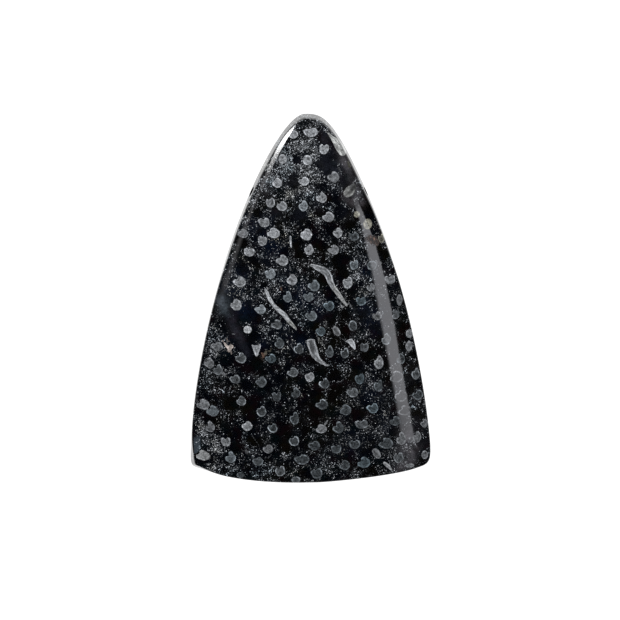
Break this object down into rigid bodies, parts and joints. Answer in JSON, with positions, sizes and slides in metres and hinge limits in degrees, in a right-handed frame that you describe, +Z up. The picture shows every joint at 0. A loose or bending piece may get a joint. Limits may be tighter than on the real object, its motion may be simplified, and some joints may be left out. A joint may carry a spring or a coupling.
{
  "type": "petrified palm wood cabochon",
  "caption": "Polished rounded-triangle stone cabochon with a flat back, low dome and side-to-side cord hole near the tip, black with pale dotted grain.",
  "frame": {"origin": "middle of the flat back: centre of the bounding box's bottom face", "axes": "+Y towards the narrow tip, along the longest extent; +Z up through the thickness, out of the domed face, the shortest extent; +X to the right as seen from above"},
  "size_m": [0.0288, 0.0442, 0.0059],
  "materials": {
    "petrified_palm": "high polish"
  },
  "bodies": {
    "root": {"cabochon": "petrified_palm"}
  },
  "joints": []
}
